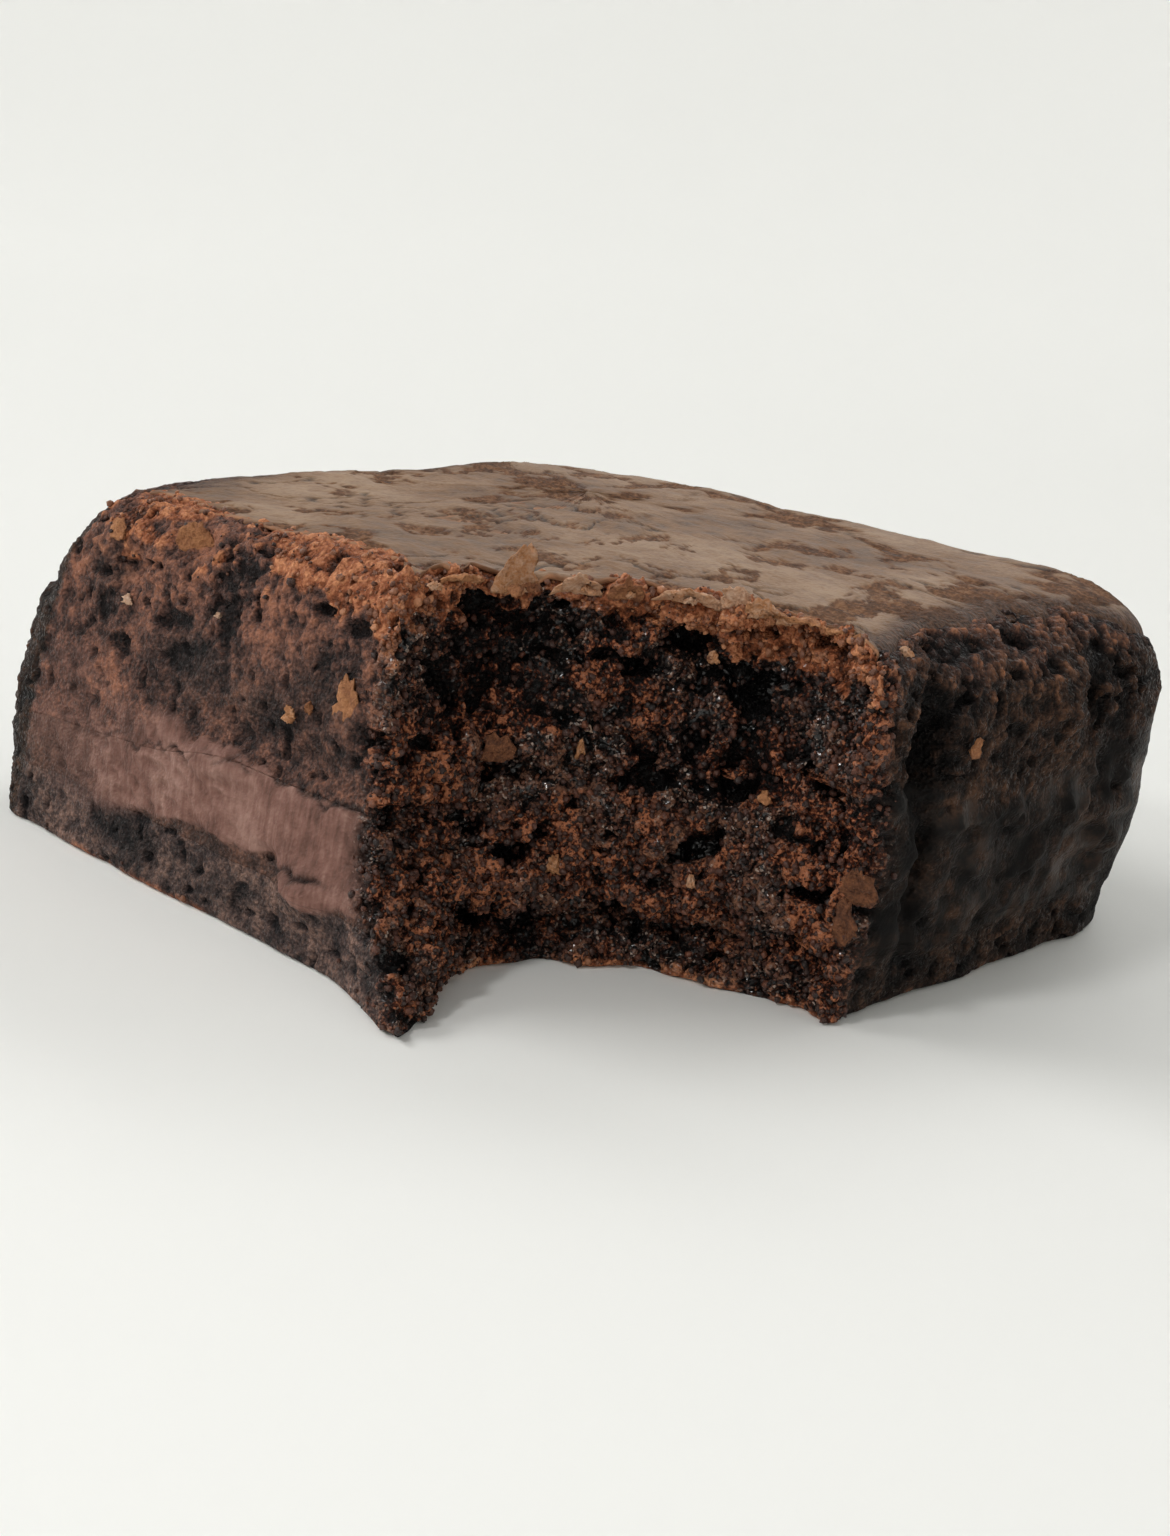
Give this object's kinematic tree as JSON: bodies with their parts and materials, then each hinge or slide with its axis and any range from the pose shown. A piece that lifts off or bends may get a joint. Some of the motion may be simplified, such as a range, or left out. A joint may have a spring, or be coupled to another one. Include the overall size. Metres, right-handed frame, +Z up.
{
  "type": "filled chocolate brownie",
  "caption": "Thick square slab of chocolate brownie with a fudge filling between cake layers and one corner bitten away.",
  "frame": {"origin": "middle of the slab's outline, on the surface that it rests on", "axes": "+Z up; +X along the cut front side, towards the bitten corner's side; the bitten corner is at +X -Y"},
  "size_m": [0.1086, 0.0994, 0.044],
  "materials": {
    "dark_crumb": "matte torn chocolate crumb",
    "fudge": "smooth cut fudge with a soft sheen",
    "baked_crust": "thin baked crust, satin and slightly wrinkled"
  },
  "bodies": {
    "root": {"cake_base": "dark_crumb", "fudge_filling": "fudge", "cake_top": "baked_crust"}
  },
  "joints": []
}
